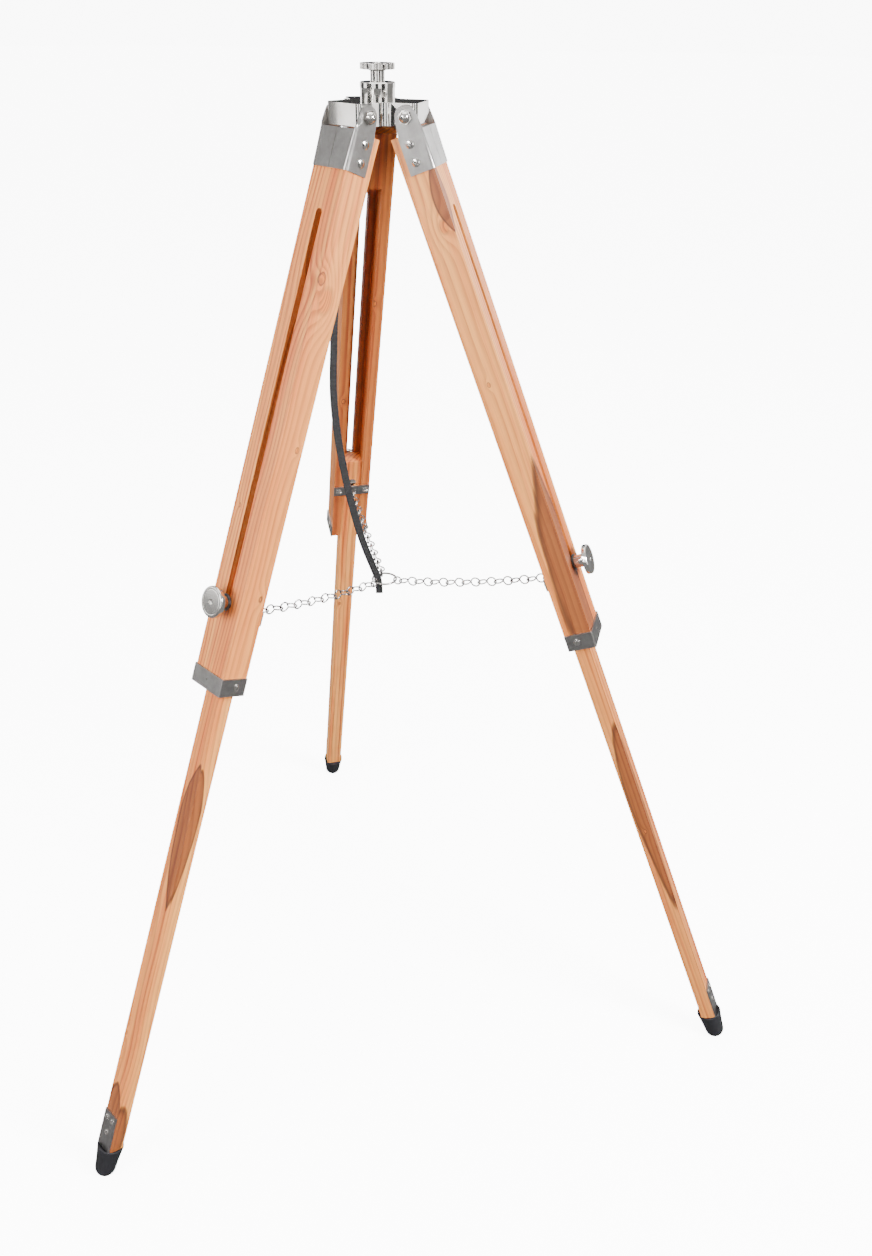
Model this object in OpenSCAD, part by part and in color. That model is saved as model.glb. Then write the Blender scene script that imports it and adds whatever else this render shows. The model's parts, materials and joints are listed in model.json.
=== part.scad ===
// Wooden field tripod: a chromed head, three folding legs with sliding lower halves,
// and a chain spreader that stops the legs from opening too far.

/* [Stance] */
// Angle of each leg from upright
leg_tilt = 21.5; // [19:0.5:22.5]
// Distance of each leg hinge from the head's axis
hinge_r = 33; // [33:0.5:36]
// Size of the curved end of a boot, where it meets the ground
boot_tip_r = 12; // [11.5:0.5:13]

/* [Upper leg] */
// Width of the wooden upper leg
leg_w = 45; // [44.8:0.1:45.2]
// Depth of the wooden upper leg
leg_d = 30; // [29:0.5:31]
// Outer face's distance outside the hinge
face_out = 9.8; // [9:0.2:10]
// Thickness of the slotted outer board
board_t = 9.7; // [8.5:0.1:10]
// Where the wood starts below the hinge
wood_top = 13; // [13:0.5:16]
// Where the upper leg ends below the hinge
wood_end = 555; // [520:1:600]
// Width of the open channel between the rails
channel_w = 23; // [22.8:0.1:24]
// Where the channel starts below the hinge
channel_top = 68; // [60:1:72]
// Width of the clamp slot
slot_w = 8; // [7:0.5:9]
// Top of the clamp slot below the hinge
slot_top = 83; // [78:1:90]

/* [Lower leg] */
// Width of the sliding lower leg
lower_w = 22.4; // [22:0.1:22.4]
// Depth of the sliding lower leg
lower_d = 17.7; // [16:0.1:18]
// Top of the lower leg below the hinge
lower_top = 428; // [420:1:440]
// End of the lower leg inside its boot
lower_end = 1136; // [1130:1:1138]
// Clamp bolt's place below the hinge
clamp_s = 463; // [455:1:465]
// Diameter of the round clamp knob
knob_d = 32; // [26:1:36]
// Length of the foot plate
foot_plate_l = 48; // [40:1:50]

/* [Fittings] */
// Thickness of the leg's sheet metal
plate_t = 1.6; // [1.2:0.1:1.8]
// Height of a cheek plate on the wood
cheek_l = 34.5; // [30:0.5:38]
// Depth of a cheek plate's side
cheek_d = 22.7; // [20:0.1:24]
// Radius of the ear round the hinge bolt
ear_r = 10; // [8.5:0.5:10]
// Height of the end band
band_h = 18; // [14:1:20]
// Bridge strap's centre below the hinge
bridge_s = 473.5; // [470:0.5:480]
// Height of the bridge strap
bridge_h = 14; // [12:1:16]

/* [Head] */
// Bottom of the hub below the hinges
hub_low = 8; // [7:0.5:8]
// Top of the hub above the hinges
hub_high = 11; // [10:0.5:12]
// Radius of the drum on the hub
drum_r = 15.6; // [14:0.2:16]
// Top of the drum above the hinges
drum_top = 21.4; // [20:0.2:23]
// Radius of the flange on the drum
flange_r = 16; // [15:0.2:17]
// Top of the flange above the hinges
flange_top = 26; // [25:0.2:27]
// Radius of the neck that a mount fits
neck_r = 6.5; // [6:0.1:7]
// Top of the neck above the hinges
neck_top = 35; // [34:0.2:36]
// Radius of the thumb nut
thumb_r = 15.6; // [13:0.2:17]
// Thickness of the thumb nut
thumb_h = 5; // [4:0.5:6]

/* [Spreader] */
// Outer diameter of the spreader ring
ring_d = 29; // [26:0.5:32]
// Wire thickness of the spreader ring
ring_wire = 2.3; // [2:0.1:2.6]
// Drop from the hinges to the ring
ring_drop = 478.5; // [474:0.5:482]
// Wire thickness of the chain
chain_wire = 1.7; // [1.5:0.1:1.8]
// Number of two-loop links in each chain
chain_links = 9; // [9:1:9]
// Sag at the middle of a chain
chain_sag = 4; // [2:0.5:6]
// Width of the tie strap
strap_w = 8; // [6:0.5:8]
// Thickness of the tie strap
strap_t = 1.6; // [1.2:0.1:2]

/* [Hidden] */
LEGS = ["left", "right", "rear"];
LEG_AZIMUTH = [210, 330, 90];
// which side of each leg carries the hinge nut
NUT_SIDE = [-1, 1, 1];
LEG_PARTS = ["upper_leg", "cheek_plate_a", "cheek_plate_b", "hinge_bolt", "hinge_nut", "end_band",
    "bridge_strap", "upper_screws", "chain_eye", "lower_leg", "foot_plate", "foot_screws", "rubber_boot",
    "clamp_bolt", "clamp_washer", "clamp_knob", "chain"];
HEAD_PARTS = ["head_hub", "head_drum", "centre_stud", "set_screw", "thumb_washer", "thumb_nut",
    "spreader_ring", "strap_anchor", "tie_strap"];
$fn = 48;

eps = 0.02;
face_in = face_out - leg_d;
lower_gap = 0.4;
lower_out = face_out - board_t - lower_gap;
lower_in = lower_out - lower_d;
lower_mid = (lower_out + lower_in) / 2;
bolt_r = 3;
shaft_fit = 0.05;
body_gap = 0.3;

// the boot's ball sits on the leg's centre line and the floor cuts its cap off flat
boot_ball_s = 1161.5;
boot_top_s = 1131;
boot_top_r = 15.4;
floor_cut = 2.4;
ball_r = hinge_r + boot_ball_s * sin(leg_tilt) + lower_mid * cos(leg_tilt);
ball_drop = boot_ball_s * cos(leg_tilt) - lower_mid * sin(leg_tilt);
hinge_z = ball_drop + boot_tip_r - floor_cut;
head_y = -ball_r / 4;

// steel and timber colours
chrome = [0.80, 0.80, 0.78];
dull_steel = [0.55, 0.54, 0.53];
wood_light = [0.90, 0.74, 0.55];
wood_pale = [0.93, 0.80, 0.64];
rubber_black = [0.16, 0.16, 0.18];
strap_black = [0.08, 0.08, 0.09];

// screw sizes
head_d = 7.6;
head_h = 1.8;
shank_r = 1.5;
shank_l = 9;
shank_fit = 0.05;
driver_slot = 1.1;
small_head_d = 6.4;
pin_r = 0.9;

cheek_end = wood_top + cheek_l;
cheek_back = face_out - cheek_d;
cheek_screws = [22, 38];
cheek_screw_y = -4;
band_top = wood_end - band_h;
bridge_screw_x = 17;
foot_plate_top = 1132 - foot_plate_l;
foot_screws_at = [[-5.2, 8], [5.2, 8], [0, 26]];

// chain loops: each link is two wire loops at right angles
wire_r = chain_wire / 2;
eye_wire_r = 1;
eye_loop_r = 4.2;
eye_out = 1.4;
loop_gap = 0.25;
loop_cross = 0.7;
ring_mid_r = ring_d / 2 - ring_wire / 2;
join_ring_r = 4.5;
eye_y = face_in - plate_t - eye_out - eye_loop_r;
eye_r = hinge_r + bridge_s * sin(leg_tilt) + eye_y * cos(leg_tilt);
eye_z = -bridge_s * cos(leg_tilt) + eye_y * sin(leg_tilt);
chain_run = norm([eye_r - ring_mid_r, eye_z + ring_drop]);
half_bear = wire_r + loop_gap / 2;
chain_start = half_bear - (eye_wire_r + wire_r + loop_gap);
join_back = half_bear;
join_front = wire_r + ring_wire / 2 + loop_gap;
link_pitch = (chain_run - chain_start + join_back + join_front - 2 * join_ring_r) / chain_links;
loop_r = (link_pitch + 2 * half_bear - loop_cross) / 4;

// the strap hangs from the hub to the ring and bows to one side: [sideways, height from the hinges]
STRAP_ROUTE = [[-12, -11.1], [-12, -24], [-24, -75], [-37, -125], [-45, -175], [-48, -215], [-50, -260],
    [-48, -300], [-43, -340], [-35, -385], [-24, -430], [-12, -465], [-7, -480], [-6, -497]];
strap_azimuth = -15.4;
strap_rings = 40;
strap_turn = 50;

// ---- placing ----

module at_head() {
    translate([0, head_y, hinge_z]) children();
}

// a frame on a leg's hinge: Y runs outward from the head, Z up
module at_leg(i) {
    at_head() rotate([0, 0, LEG_AZIMUTH[i] - 90]) children();
}

// a frame on the leg itself: Y out of its outer face, Z up along it, zero at the hinge
module on_leg(i) {
    at_leg(i) translate([0, hinge_r, 0]) rotate([leg_tilt, 0, 0]) children();
}

// a box between two corners
module box(low, high) {
    translate(low) cube(high - low);
}

module rod_x(r, x0, x1) {
    translate([x0, 0, 0]) rotate([0, 90, 0]) cylinder(r = r, h = x1 - x0);
}

module rod_y(r, y0, y1) {
    translate([0, y0, 0]) rotate([-90, 0, 0]) cylinder(r = r, h = y1 - y0);
}

module ring(mid_r, wire) {
    rotate_extrude() translate([mid_r, 0]) circle(r = wire);
}

// ---- screws ----

// a slotted round-head wood screw, head up at z = 0 and shank below
module wood_screw(d) {
    difference() {
        intersection() {
            cylinder(d = d, h = head_h);
            translate([0, 0, head_h - d]) sphere(r = d);
        }
        box([-d, -driver_slot / 2, head_h * 0.45], [d, driver_slot / 2, head_h * 2]);
    }
    translate([0, 0, -shank_l]) cylinder(r = shank_r, h = shank_l + eps);
}

module screw_hole(deep = shank_l + 1) {
    translate([0, 0, -deep]) cylinder(r = shank_r + shank_fit, h = deep + 1);
}

// the places of the upper leg's screws: children stand with their heads outward
module upper_screw_places() {
    for (side = [-1, 1]) {
        for (s = cheek_screws)
            translate([side * (leg_w / 2 + plate_t), cheek_screw_y, -s])
                rotate([0, side * 90, 0]) rotate([0, 0, 45]) children();
        translate([side * (leg_w / 2 + plate_t), -8, -(band_top + band_h / 2)])
            rotate([0, side * 90, 0]) children();
        translate([side * bridge_screw_x, face_in - plate_t, -bridge_s]) rotate([90, 0, 0]) children();
    }
}

module foot_screw_places() {
    for (p = foot_screws_at)
        translate([p[0], lower_out + plate_t, -(foot_plate_top + p[1])]) rotate([-90, 0, 0]) children();
}

// ---- upper leg ----

// outline of the clamp slot, swept through the outer board
module slot_cut() {
    slot_end = clamp_s + bolt_r + 4;
    for (s = [slot_top + slot_w / 2, slot_end - slot_w / 2])
        translate([0, 0, -s]) rod_y(slot_w / 2, face_out - board_t - 1, face_out + 1);
    box([-slot_w / 2, face_out - board_t - 1, -slot_end + slot_w / 2],
        [slot_w / 2, face_out + 1, -slot_top - slot_w / 2]);
}

module upper_leg() {
    color(wood_light) difference() {
        box([-leg_w / 2, face_in, -wood_end], [leg_w / 2, face_out, -wood_top]);
        box([-channel_w / 2, face_in - 1, -wood_end - 1], [channel_w / 2, face_out - board_t, -channel_top]);
        slot_cut();
        upper_screw_places() screw_hole();
        translate([0, 0, -(band_top + band_h / 2)]) rod_y(pin_r + shank_fit, face_out - 5, face_out + 1);
    }
}

// the point where a line from p touches a circle of radius r round the hinge
function touch_point(p, r, side) = let (d = norm(p), a = atan2(p[1], p[0]) + side * acos(r / d))
    [r * cos(a), r * sin(a)];

// side view of a cheek: a plate on the wood with an ear round the hinge bolt
module cheek_outline() {
    back = [cheek_back, -wood_top - 3];
    front = [face_out + plate_t, -wood_top];
    circle(r = ear_r);
    polygon([[0, 0], touch_point(back, ear_r, -1), back, [cheek_back, -cheek_end],
        [face_out + plate_t, -cheek_end], front, touch_point(front, ear_r, 1)]);
}

// one half of the leg's top casing: an ear and side plate bent round to the middle of the outer face
module cheek_plate(side) {
    seam = 0.2;
    color(chrome) difference() {
        union() {
            translate([side > 0 ? leg_w / 2 : -leg_w / 2 - plate_t, 0, 0])
                rotate([90, 0, 90]) linear_extrude(plate_t) cheek_outline();
            box([side > 0 ? seam : -leg_w / 2 - eps, face_out, -cheek_end],
                [side > 0 ? leg_w / 2 + eps : -seam, face_out + plate_t, -wood_top]);
        }
        rod_x(bolt_r + shaft_fit, -leg_w, leg_w);
        upper_screw_places() screw_hole(4);
    }
}

module hinge_bolt(side) {
    head_r = 5.6;
    outside = leg_w / 2 + plate_t;
    color(chrome) rotate([0, 0, side > 0 ? 0 : 180]) {
        rod_x(bolt_r, -outside - eps, outside + 4);
        translate([-outside, 0, 0]) rotate([0, -90, 0]) intersection() {
            cylinder(r = head_r, h = 3.4);
            translate([0, 0, -head_r + 3.4]) sphere(r = head_r * 1.3);
        }
    }
}

// a domed hexagon nut on the hinge bolt
module hinge_nut(side) {
    nut_r = 6.2;
    outside = leg_w / 2 + plate_t;
    color(chrome) rotate([0, 0, side > 0 ? 0 : 180])
        translate([outside, 0, 0]) rotate([0, 90, 0]) difference() {
        union() {
            cylinder(r = nut_r, h = 3.2, $fn = 6);
            intersection() {
                translate([0, 0, 2.4]) sphere(r = 5.1);
                translate([0, 0, 2]) cylinder(r = 8, h = 8);
            }
        }
        translate([0, 0, -1]) cylinder(r = bolt_r + shaft_fit, h = 5.1);
    }
}

module end_band() {
    color(chrome) difference() {
        box([-leg_w / 2 - plate_t, face_in, -wood_end - 1],
            [leg_w / 2 + plate_t, face_out + plate_t, -band_top]);
        box([-leg_w / 2, face_in - 1, -wood_end - 2], [leg_w / 2, face_out, -band_top + 1]);
        upper_screw_places() screw_hole(4);
        translate([0, 0, -(band_top + band_h / 2)]) rod_y(pin_r + shank_fit, face_out - 1, face_out + 4);
    }
}

// flat strap across the open side of the channel, which carries the chain's eye
module bridge_strap() {
    color(chrome) difference() {
        box([-leg_w / 2, face_in - plate_t, -bridge_s - bridge_h / 2],
            [leg_w / 2, face_in, -bridge_s + bridge_h / 2]);
        upper_screw_places() screw_hole(4);
    }
}

module upper_screws() {
    color(chrome) {
        upper_screw_places() wood_screw(head_d);
        translate([0, 0, -(band_top + band_h / 2)]) rod_y(pin_r, face_out - 4, face_out + plate_t + 0.5);
    }
}

module chain_eye() {
    color(chrome) translate([0, eye_y + eye_loop_r, -bridge_s]) {
        rotate([0, 0, 180]) rotate_extrude(angle = 180) translate([eye_loop_r, 0]) circle(r = eye_wire_r);
        for (side = [-1, 1])
            translate([side * eye_loop_r, 0, 0]) rod_y(eye_wire_r, 0, eye_out);
    }
}

// ---- lower leg ----

module lower_leg() {
    color(wood_pale) difference() {
        box([-lower_w / 2, lower_in, -lower_end], [lower_w / 2, lower_out, -lower_top]);
        translate([0, 0, -clamp_s]) rod_y(bolt_r + shaft_fit, lower_in - 1, lower_out + 1);
        translate([0, 0, -clamp_s]) rod_y(5.7, lower_in - 1, lower_in + 3);
        foot_screw_places() screw_hole();
    }
}

module foot_plate() {
    color(chrome) difference() {
        box([-lower_w / 2, lower_out, -foot_plate_top - foot_plate_l],
            [lower_w / 2, lower_out + plate_t, -foot_plate_top]);
        foot_screw_places() screw_hole(4);
    }
}

module foot_screws() {
    color(chrome) foot_screw_places() wood_screw(small_head_d);
}

// a rubber boot pulled over the end of the leg, its round end worn flat on the floor
module rubber_boot(i) {
    reach = 1000;
    color(rubber_black) difference() {
        intersection() {
            on_leg(i) translate([0, lower_mid, 0]) {
                translate([0, 0, -boot_ball_s])
                    cylinder(r1 = boot_tip_r, r2 = boot_top_r, h = boot_ball_s - boot_top_s);
                translate([0, 0, -boot_ball_s]) sphere(r = boot_tip_r);
            }
            box([-reach, -reach, 0], [reach, reach, hinge_z]);
        }
        on_leg(i) box([-lower_w / 2, lower_in, -lower_end], [lower_w / 2, lower_out, -lower_top]);
        on_leg(i) box([-lower_w / 2, lower_out - eps, -foot_plate_top - foot_plate_l - body_gap],
            [lower_w / 2, lower_out + plate_t + body_gap, -lower_top]);
    }
}

// ---- clamp ----

module clamp_bolt() {
    color(chrome) translate([0, 0, -clamp_s]) {
        rod_y(bolt_r, lower_in + 1, face_out + 17);
        rod_y(5.6, lower_in + 0.2, lower_in + 2.8);
    }
}

module clamp_washer() {
    color(dull_steel) translate([0, 0, -clamp_s]) difference() {
        rod_y(8.5, face_out + body_gap, face_out + body_gap + 1.5);
        rod_y(bolt_r + shaft_fit, face_out - 1, face_out + 4);
    }
}

// round knob with a flat face, a bevelled rim and a boss that presses on the washer
module clamp_knob() {
    boss_start = face_out + 2.1;
    disc_start = face_out + 13.6;
    rim = 1;
    color(chrome) translate([0, 0, -clamp_s]) difference() {
        union() {
            rod_y(7, boss_start, disc_start + 1);
            rod_y(knob_d / 2, disc_start, disc_start + 4.2);
            translate([0, disc_start + 4.2, 0]) rotate([-90, 0, 0])
                cylinder(r1 = knob_d / 2, r2 = knob_d / 2 - rim, h = rim);
        }
        rod_y(bolt_r + shaft_fit, face_out, face_out + 17.3);
        translate([0, disc_start + 4.2 + rim - 0.8, 0]) rod_y(2.4, 0, 2);
    }
}

// ---- spreader ----

// a point of the chain's sagging line: [outward, up], from the eye at 0 to the ring at 1
function chain_point(f) = [
    eye_r + (ring_mid_r - eye_r) * f,
    eye_z + (-ring_drop - eye_z) * f - 4 * chain_sag * f * (1 - f)];
function chain_share(x) = x / chain_run;

// a frame whose X runs along the chain from a to b
module along_chain(a, b) {
    run = b - a;
    translate([0, a[0], a[1]]) rotate([atan2(run[1], run[0]), 0, 0]) rotate([0, 0, 90]) children();
}

// one link: an upright loop and a level loop of the same wire
module chain_link() {
    translate([loop_r - half_bear, 0, 0]) rotate([90, 0, 0]) ring(loop_r, wire_r);
    translate([3 * loop_r + loop_cross - half_bear, 0, 0]) ring(loop_r, wire_r);
}

module chain(i) {
    last = chain_start + chain_links * link_pitch;
    color(chrome) at_leg(i) {
        for (k = [0:chain_links - 1])
            along_chain(chain_point(chain_share(chain_start + k * link_pitch)),
                chain_point(chain_share(chain_start + (k + 1) * link_pitch))) chain_link();
        along_chain(chain_point(chain_share(last)), chain_point(1))
            translate([join_ring_r - join_back, 0, 0]) rotate([90, 0, 0]) ring(join_ring_r, wire_r);
    }
}

module spreader_ring() {
    color(chrome) at_head() translate([0, 0, -ring_drop]) ring(ring_mid_r, ring_wire / 2);
}

// ---- tie strap ----

// smooth curve through the route's points: t counts points from the first
function route_at(t) = let (
    n = len(STRAP_ROUTE),
    i = min(floor(t), n - 2),
    f = t - i,
    a = STRAP_ROUTE[max(i - 1, 0)],
    b = STRAP_ROUTE[i],
    c = STRAP_ROUTE[i + 1],
    d = STRAP_ROUTE[min(i + 2, n - 1)])
    (2 * b + (c - a) * f + (2 * a - 5 * b + 4 * c - d) * f * f + (3 * b - a - 3 * c + d) * f * f * f) / 2;

// eight points round the strap's flat section, set across the route at t
function strap_section(t) = let (
    here = route_at(t),
    step = route_at(min(t + 0.01, len(STRAP_ROUTE) - 1)) - route_at(max(t - 0.01, 0)),
    along = step / norm(step),
    turn = strap_turn * (1 - t / (len(STRAP_ROUTE) - 1)),
    wide = [-along[1] * cos(turn), sin(turn), along[0] * cos(turn)],
    thin = [along[1] * sin(turn), cos(turn), -along[0] * sin(turn)])
    [for (c = [[1, -0.5], [1, 0.5], [0.9, 1], [-0.9, 1], [-1, 0.5], [-1, -0.5], [-0.9, -1], [0.9, -1]])
        [here[0], 0, here[1]] + wide * c[0] * strap_w / 2 + thin * c[1] * strap_t / 2];

module tie_strap() {
    span = len(STRAP_ROUTE) - 1;
    sections = [for (k = [0:strap_rings]) strap_section(k * span / strap_rings)];
    points = [for (s = sections) for (p = s) p];
    walls = [for (k = [0:strap_rings - 1]) for (j = [0:7])
        [k * 8 + j, k * 8 + (j + 1) % 8, (k + 1) * 8 + (j + 1) % 8, (k + 1) * 8 + j]];
    start = [for (j = [7:-1:0]) j];
    finish = [for (j = [0:7]) strap_rings * 8 + j];
    color(strap_black) at_head() rotate([0, 0, strap_azimuth])
        polyhedron(points = points, faces = concat(walls, [start, finish]), convexity = 4);
}

// a button under the hub that the strap hangs from
module strap_anchor() {
    button_h = 3;
    color(chrome) at_head() rotate([0, 0, strap_azimuth])
        translate([STRAP_ROUTE[0][0], 0, -hub_low - button_h]) cylinder(r = 6, h = button_h);
}

// ---- head ----

// three broad arms with round corners, and hollow sides between them
module hub_block() {
    half = leg_w / 2 - body_gap;
    arm_end = hinge_r + 10;
    corner = 5;
    tall = hub_low + hub_high;
    // a web fills each corner between two arms, and a round hollow is cut in its face
    meet = half / sin(60);
    web = 6.5;
    web_face = meet + web * cos(60);
    hollow_r = 6.2;
    hollow_out = 4.5;
    core_r = 14;
    arm_start = 6;
    difference() {
        union() {
            cylinder(r = core_r, h = tall);
            for (az = LEG_AZIMUTH) rotate([0, 0, az - 90]) {
                box([-half, arm_start, 0], [half, arm_end - corner, tall]);
                box([-half + corner, arm_start, 0], [half - corner, arm_end, tall]);
                for (side = [-1, 1])
                    translate([side * (half - corner), arm_end - corner, 0]) cylinder(r = corner, h = tall);
            }
            for (az = LEG_AZIMUTH) rotate([0, 0, az + 90])
                linear_extrude(tall)
                    polygon([[0, core_r - 4], [-web * sin(60), web_face], [web * sin(60), web_face]]);
        }
        for (az = LEG_AZIMUTH)
            rotate([0, 0, az + 90]) translate([0, web_face + hollow_out, -1])
                cylinder(r = hollow_r, h = tall + 2);
    }
}

spigot_r = 5;
spigot_low = -2;

module head_hub() {
    color(chrome) at_head() difference() {
        translate([0, 0, -hub_low]) hub_block();
        for (az = LEG_AZIMUTH)
            rotate([0, 0, az - 90]) translate([0, hinge_r, 0]) rod_x(bolt_r + shaft_fit, -leg_w, leg_w);
        translate([0, 0, spigot_low - 0.2]) cylinder(r = spigot_r + shaft_fit, h = hub_high + 5);
    }
}

set_screw_z = 16.5;
set_screw_azimuth = 280;
set_screw_r = 2.5;

module head_drum() {
    lip = 0.8;
    color(chrome) at_head() difference() {
        union() {
            translate([0, 0, hub_high]) cylinder(r = drum_r, h = drum_top - hub_high);
            translate([0, 0, drum_top - eps]) cylinder(r = flange_r, h = flange_top - drum_top - lip + eps);
            translate([0, 0, flange_top - lip]) cylinder(r1 = flange_r, r2 = flange_r - lip, h = lip);
        }
        translate([0, 0, hub_high - 1]) cylinder(r = spigot_r + shaft_fit, h = 20);
        rotate([0, 0, set_screw_azimuth]) translate([0, 0, set_screw_z])
            rod_x(set_screw_r + shaft_fit, 0, 20);
    }
}

module set_screw() {
    deep = 0.6;
    color(dull_steel) at_head()
        rotate([0, 0, set_screw_azimuth]) translate([0, 0, set_screw_z]) difference() {
        rod_x(set_screw_r, spigot_r + 0.1, drum_r - deep);
        box([drum_r - deep - 1, -0.4, -set_screw_r * 2], [drum_r, 0.4, set_screw_r * 2]);
    }
}

stud_r = 3;
washer_t = 1;
stud_top = neck_top + washer_t + thumb_h + 0.6;

module centre_stud() {
    color(chrome) at_head() {
        translate([0, 0, spigot_low]) cylinder(r = spigot_r, h = flange_top - spigot_low + eps);
        translate([0, 0, flange_top]) cylinder(r = neck_r, h = neck_top - flange_top);
        translate([0, 0, neck_top - eps]) cylinder(r = stud_r, h = stud_top - neck_top + eps);
    }
}

module thumb_washer() {
    color(dull_steel) at_head() translate([0, 0, neck_top]) difference() {
        cylinder(r = 7.5, h = washer_t);
        translate([0, 0, -1]) cylinder(r = stud_r + shaft_fit, h = 4);
    }
}

// a disc nut with coarse round notches cut in its rim for the fingers
module thumb_nut() {
    notches = 20;
    notch_r = 1.5;
    color(chrome) at_head() translate([0, 0, neck_top + washer_t]) difference() {
        cylinder(r = thumb_r, h = thumb_h);
        translate([0, 0, -1]) cylinder(r = stud_r + shaft_fit, h = thumb_h + 2);
        for (k = [1:notches])
            rotate([0, 0, k * 360 / notches]) translate([thumb_r + 0.4, 0, -1])
                cylinder(r = notch_r, h = thumb_h + 2);
    }
}

head_hub();
head_drum();
centre_stud();
set_screw();
thumb_washer();
thumb_nut();
spreader_ring();
strap_anchor();
tie_strap();
for (i = [0:2]) {
    on_leg(i) upper_leg();
    on_leg(i) cheek_plate(-1);
    on_leg(i) cheek_plate(1);
    on_leg(i) hinge_bolt(NUT_SIDE[i]);
    on_leg(i) hinge_nut(NUT_SIDE[i]);
    on_leg(i) end_band();
    on_leg(i) bridge_strap();
    on_leg(i) upper_screws();
    on_leg(i) chain_eye();
    on_leg(i) lower_leg();
    on_leg(i) foot_plate();
    on_leg(i) foot_screws();
    rubber_boot(i);
    on_leg(i) clamp_bolt();
    on_leg(i) clamp_washer();
    on_leg(i) clamp_knob();
    chain(i);
}
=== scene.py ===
"""Wooden field tripod: the looks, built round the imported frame. All sizes are in metres."""

import json
import math

import bmesh
import bpy
import numpy as np
from mathutils import Matrix, Vector


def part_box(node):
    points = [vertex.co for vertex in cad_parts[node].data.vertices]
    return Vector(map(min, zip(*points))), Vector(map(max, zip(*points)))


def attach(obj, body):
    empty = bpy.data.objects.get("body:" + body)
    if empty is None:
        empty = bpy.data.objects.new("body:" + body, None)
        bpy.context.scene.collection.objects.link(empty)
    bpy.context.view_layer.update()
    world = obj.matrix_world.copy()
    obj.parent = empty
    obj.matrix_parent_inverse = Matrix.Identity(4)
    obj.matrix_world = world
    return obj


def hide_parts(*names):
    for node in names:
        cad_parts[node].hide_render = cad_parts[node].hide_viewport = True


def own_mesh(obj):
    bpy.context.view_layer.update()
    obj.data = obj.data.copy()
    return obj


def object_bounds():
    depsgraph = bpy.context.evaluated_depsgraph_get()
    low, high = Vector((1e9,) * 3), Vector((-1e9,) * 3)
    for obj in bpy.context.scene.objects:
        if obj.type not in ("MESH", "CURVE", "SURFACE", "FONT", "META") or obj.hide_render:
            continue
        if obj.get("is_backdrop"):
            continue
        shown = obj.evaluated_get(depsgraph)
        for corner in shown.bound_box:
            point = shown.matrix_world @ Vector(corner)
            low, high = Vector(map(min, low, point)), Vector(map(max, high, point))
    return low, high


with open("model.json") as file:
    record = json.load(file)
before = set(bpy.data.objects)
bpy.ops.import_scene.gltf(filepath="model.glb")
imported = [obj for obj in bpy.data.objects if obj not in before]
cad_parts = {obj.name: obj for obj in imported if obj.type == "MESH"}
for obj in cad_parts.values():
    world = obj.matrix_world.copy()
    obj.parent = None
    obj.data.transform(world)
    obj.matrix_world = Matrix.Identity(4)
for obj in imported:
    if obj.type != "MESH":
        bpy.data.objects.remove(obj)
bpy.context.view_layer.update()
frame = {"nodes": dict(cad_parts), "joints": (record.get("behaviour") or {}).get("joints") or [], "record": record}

# ---- Camera and studio ------------------------------------------------------------------------
# The camera stands in front of the head, a little above it and to the left, and looks down at the
# ring. A glowing white floor and wall lie behind everything under three soft lights. Pale and dark
# cards only give the plated metal something to reflect.

MM = 0.001
joints = {j["name"]: j for j in frame["joints"]}
head_x, head_y, _ = joints["thumb_nut_turn"]["pos_m"]
hinge_z = joints["left_leg_fold"]["pos_m"][2]
head = Vector((head_x, head_y, hinge_z))
IMAGE_TALL = 1256
FOCAL_PX = 1082.5
SENSOR = 36.0
CAMERA_ROLL = math.radians(0.78)
eye = head + Vector((-0.23146, -1.06298, 0.09635))
aim = head + Vector((0.05815, -0.01203, -0.54477))

camera_data = bpy.data.cameras.new("camera")
camera_data.sensor_width = SENSOR
camera_data.lens = FOCAL_PX / IMAGE_TALL * SENSOR
camera_data.clip_start = 0.02
forward = (aim - eye).normalized()
level = forward.cross(Vector((0, 0, 1))).normalized()
upright = level.cross(forward)
rightward = level * math.cos(CAMERA_ROLL) + upright * math.sin(CAMERA_ROLL)
upward = upright * math.cos(CAMERA_ROLL) - level * math.sin(CAMERA_ROLL)
camera = bpy.data.objects.new("camera", camera_data)
camera.matrix_world = Matrix((rightward, upward, -forward)).transposed().to_4x4()
camera.location = eye
bpy.context.scene.collection.objects.link(camera)
bpy.context.scene.camera = camera


FLOOR_GLOW = 9.0


class Wire:
    """A value or colour in a finish's node tree. Arithmetic on wires and numbers adds Math nodes."""

    def __init__(self, finish, socket):
        self.finish, self.socket = finish, socket

    def math(self, operation, *others):
        return self.finish.node("Math", {"operation": operation}, dict(enumerate((self, *others))))

    def __add__(self, other):
        return self.math("ADD", other)

    def __sub__(self, other):
        return self.math("SUBTRACT", other)

    def __mul__(self, other):
        return self.math("MULTIPLY", other)

    def __truediv__(self, other):
        return self.math("DIVIDE", other)

    def __rsub__(self, other):
        return self.finish.node("Math", {"operation": "SUBTRACT"}, {0: other, 1: self})

    __radd__, __rmul__ = __add__, __mul__

    def ease(self, start, end):
        """0 up to start, 1 from end on, and a smooth step between."""
        return self.finish.node("MapRange", {"interpolation_type": "SMOOTHSTEP"},
                                {"Value": self, "From Min": start, "From Max": end})

    def parts(self):
        """The three numbers of a vector."""
        split = self.finish.node("SeparateXYZ", None, {0: self}).socket.node
        return [Wire(self.finish, out) for out in split.outputs]


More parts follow.
